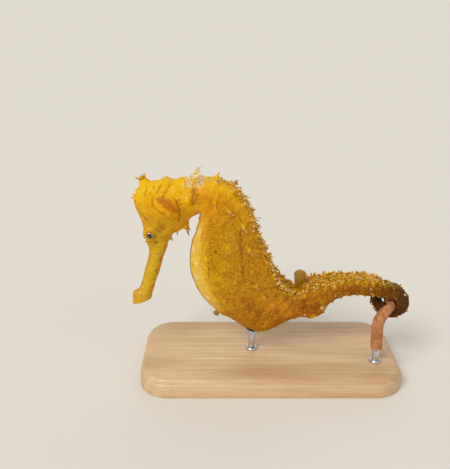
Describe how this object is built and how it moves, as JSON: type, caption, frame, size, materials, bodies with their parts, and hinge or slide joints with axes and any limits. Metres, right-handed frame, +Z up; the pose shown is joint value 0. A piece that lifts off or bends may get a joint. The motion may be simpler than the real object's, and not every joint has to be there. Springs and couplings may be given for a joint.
{
  "type": "seahorse model",
  "caption": "Life-size yellow seahorse, head bowed and tail curled round a coral finger, held on a flat wooden display base by steel rods.",
  "frame": {"origin": "centre of the stand base's underside", "axes": "+Z up; the snout points towards -X and the tail runs towards +X; the animal's left side faces -Y"},
  "size_m": [0.0861, 0.038, 0.0653],
  "materials": {
    "head_skin": "painted skin, satin, bright yellow shaded with amber",
    "body_skin": "painted skin, satin, amber with a pale keel",
    "tail_skin": "painted skin, satin, orange-brown",
    "fin_membrane": "thin olive-brown membrane with rays",
    "eye_glass": "polished dark eye with a thin golden iris",
    "coral_branch": "dusty pink-brown, rough",
    "pale_wood": "fine-grained, oiled",
    "rod_steel": "brushed"
  },
  "bodies": {
    "root": {"snout": "head_skin", "head": "head_skin", "eye_left": "eye_glass", "eye_right": "eye_glass", "coronet": "head_skin", "neck": "head_skin", "trunk_upper": "body_skin", "trunk_lower": "body_skin", "tail_1": "body_skin", "tail_2": "tail_skin", "tail_3": "tail_skin", "tail_4": "tail_skin", "tail_5": "tail_skin", "tail_6": "tail_skin", "pouch": "body_skin", "dorsal_fin": "fin_membrane", "anal_fin": "fin_membrane", "pectoral_fin_left": "fin_membrane", "pectoral_fin_right": "fin_membrane", "perch_coral": "coral_branch", "stand_rod_pouch": "rod_steel", "stand_rod_coral": "rod_steel", "stand_base": "pale_wood"}
  },
  "joints": []
}
